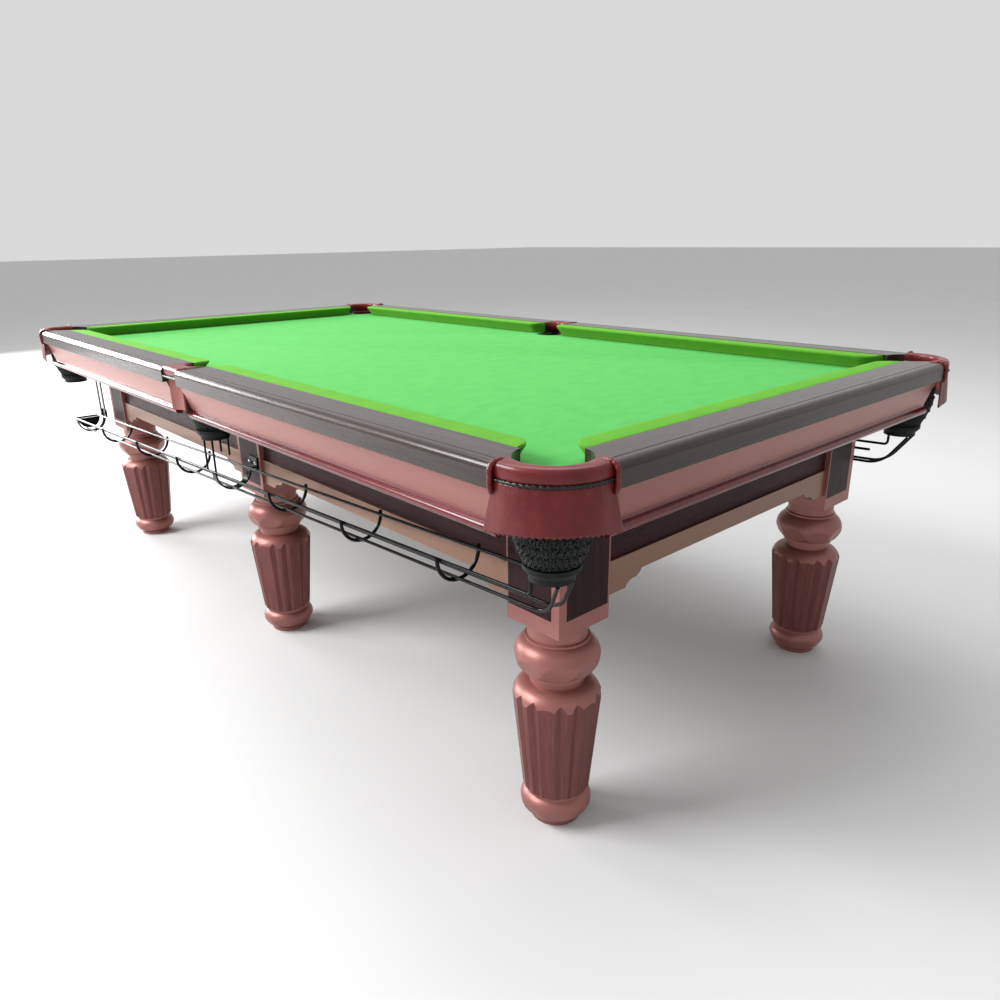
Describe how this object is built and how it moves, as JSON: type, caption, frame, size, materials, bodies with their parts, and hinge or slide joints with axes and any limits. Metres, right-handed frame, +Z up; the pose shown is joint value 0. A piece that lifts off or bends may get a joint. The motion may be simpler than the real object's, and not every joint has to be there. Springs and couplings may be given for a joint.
{
  "type": "pool table",
  "caption": "Long cloth-covered pool table with rubber cushions, leather-bound corner and side pockets with nets, sloping wire ball tracks and fluted turned legs on levelling feet.",
  "frame": {"origin": "on the floor under the middle of the table", "axes": "+X along the table's length, towards the end where the ball tracks are highest; +Y across its width; +Z up"},
  "size_m": [2.83, 1.56, 0.847],
  "materials": {
    "leg_lacquer": "metallic rose lacquer over turned hardwood",
    "foot_paint": "steel disc and stud, rose lacquer",
    "insert_brass": "plain turned",
    "inlay_wood": "dark burgundy lacquered veneer",
    "frame_timber": "sawn pine",
    "apron_wood": "dark burgundy, open horizontal grain",
    "lower_rail_lacquer": "rose-brown metallic lacquer",
    "slate": "honed slate",
    "bed_cloth": "green worsted cloth",
    "cap_wood": "dark brown gloss lacquer with fine grain",
    "cushion_cloth": "rubber covered in green worsted cloth",
    "fascia_lacquer": "rose metallic lacquer",
    "bead_lacquer": "deep red gloss lacquer",
    "pocket_leather": "deep red pocket leather",
    "net_cord": "knotted black cord",
    "ring_rubber": "moulded black rubber",
    "track_wire": "black coated steel rod",
    "screw_chrome": "bright",
    "bolt_steel": "zinc plated"
  },
  "bodies": {
    "table": {"leg_front_left": "leg_lacquer", "leg_front_middle": "leg_lacquer", "leg_front_right": "leg_lacquer", "leg_back_left": "leg_lacquer", "leg_back_middle": "leg_lacquer", "leg_back_right": "leg_lacquer", "leg_inserts": "insert_brass", "leg_inlays": "inlay_wood", "frame_beams": "frame_timber", "cross_beams": "frame_timber", "apron_panels": "apron_wood", "lower_rails": "lower_rail_lacquer", "slate_left": "slate", "slate_middle": "slate", "slate_right": "slate", "bed_cloth": "bed_cloth", "cap_rail_front_left": "cap_wood", "cap_rail_front_right": "cap_wood", "cap_rail_back_left": "cap_wood", "cap_rail_back_right": "cap_wood", "cap_rail_left_end": "cap_wood", "cap_rail_right_end": "cap_wood", "cushion_front_left": "cushion_cloth", "cushion_front_right": "cushion_cloth", "cushion_back_left": "cushion_cloth", "cushion_back_right": "cushion_cloth", "cushion_left_end": "cushion_cloth", "cushion_right_end": "cushion_cloth", "fascias": "fascia_lacquer", "middle_pocket_panels": "fascia_lacquer", "bead_mouldings": "bead_lacquer", "pocket_leather_front_left": "pocket_leather", "pocket_leather_front_middle": "pocket_leather", "pocket_leather_front_right": "pocket_leather", "pocket_leather_back_left": "pocket_leather", "pocket_leather_back_middle": "pocket_leather", "pocket_leather_back_right": "pocket_leather", "pocket_net_front_left": "net_cord", "pocket_net_front_middle": "net_cord", "pocket_net_front_right": "net_cord", "pocket_net_back_left": "net_cord", "pocket_net_back_middle": "net_cord", "pocket_net_back_right": "net_cord", "pocket_rings": "ring_rubber", "ball_track_front": "track_wire", "ball_track_back": "track_wire", "track_hoops": "track_wire", "track_brackets": "track_wire", "track_hangers": "track_wire", "track_ends": "track_wire", "pocket_prongs": "track_wire", "track_screws": "screw_chrome", "rail_bolts": "bolt_steel"},
    "foot_front_left": {"levelling_foot_front_left": "foot_paint"},
    "foot_front_middle": {"levelling_foot_front_middle": "foot_paint"},
    "foot_front_right": {"levelling_foot_front_right": "foot_paint"},
    "foot_back_left": {"levelling_foot_back_left": "foot_paint"},
    "foot_back_middle": {"levelling_foot_back_middle": "foot_paint"},
    "foot_back_right": {"levelling_foot_back_right": "foot_paint"}
  },
  "joints": [
    {"name": "foot_screw_front_left", "type": "slide", "parent": "table", "child": "foot_front_left", "axis": [0, 0, -1], "range_m": [0, 0.02]},
    {"name": "foot_screw_front_middle", "type": "slide", "parent": "table", "child": "foot_front_middle", "axis": [0, 0, -1], "range_m": [0, 0.02]},
    {"name": "foot_screw_front_right", "type": "slide", "parent": "table", "child": "foot_front_right", "axis": [0, 0, -1], "range_m": [0, 0.02]},
    {"name": "foot_screw_back_left", "type": "slide", "parent": "table", "child": "foot_back_left", "axis": [0, 0, -1], "range_m": [0, 0.02]},
    {"name": "foot_screw_back_middle", "type": "slide", "parent": "table", "child": "foot_back_middle", "axis": [0, 0, -1], "range_m": [0, 0.02]},
    {"name": "foot_screw_back_right", "type": "slide", "parent": "table", "child": "foot_back_right", "axis": [0, 0, -1], "range_m": [0, 0.02]}
  ]
}
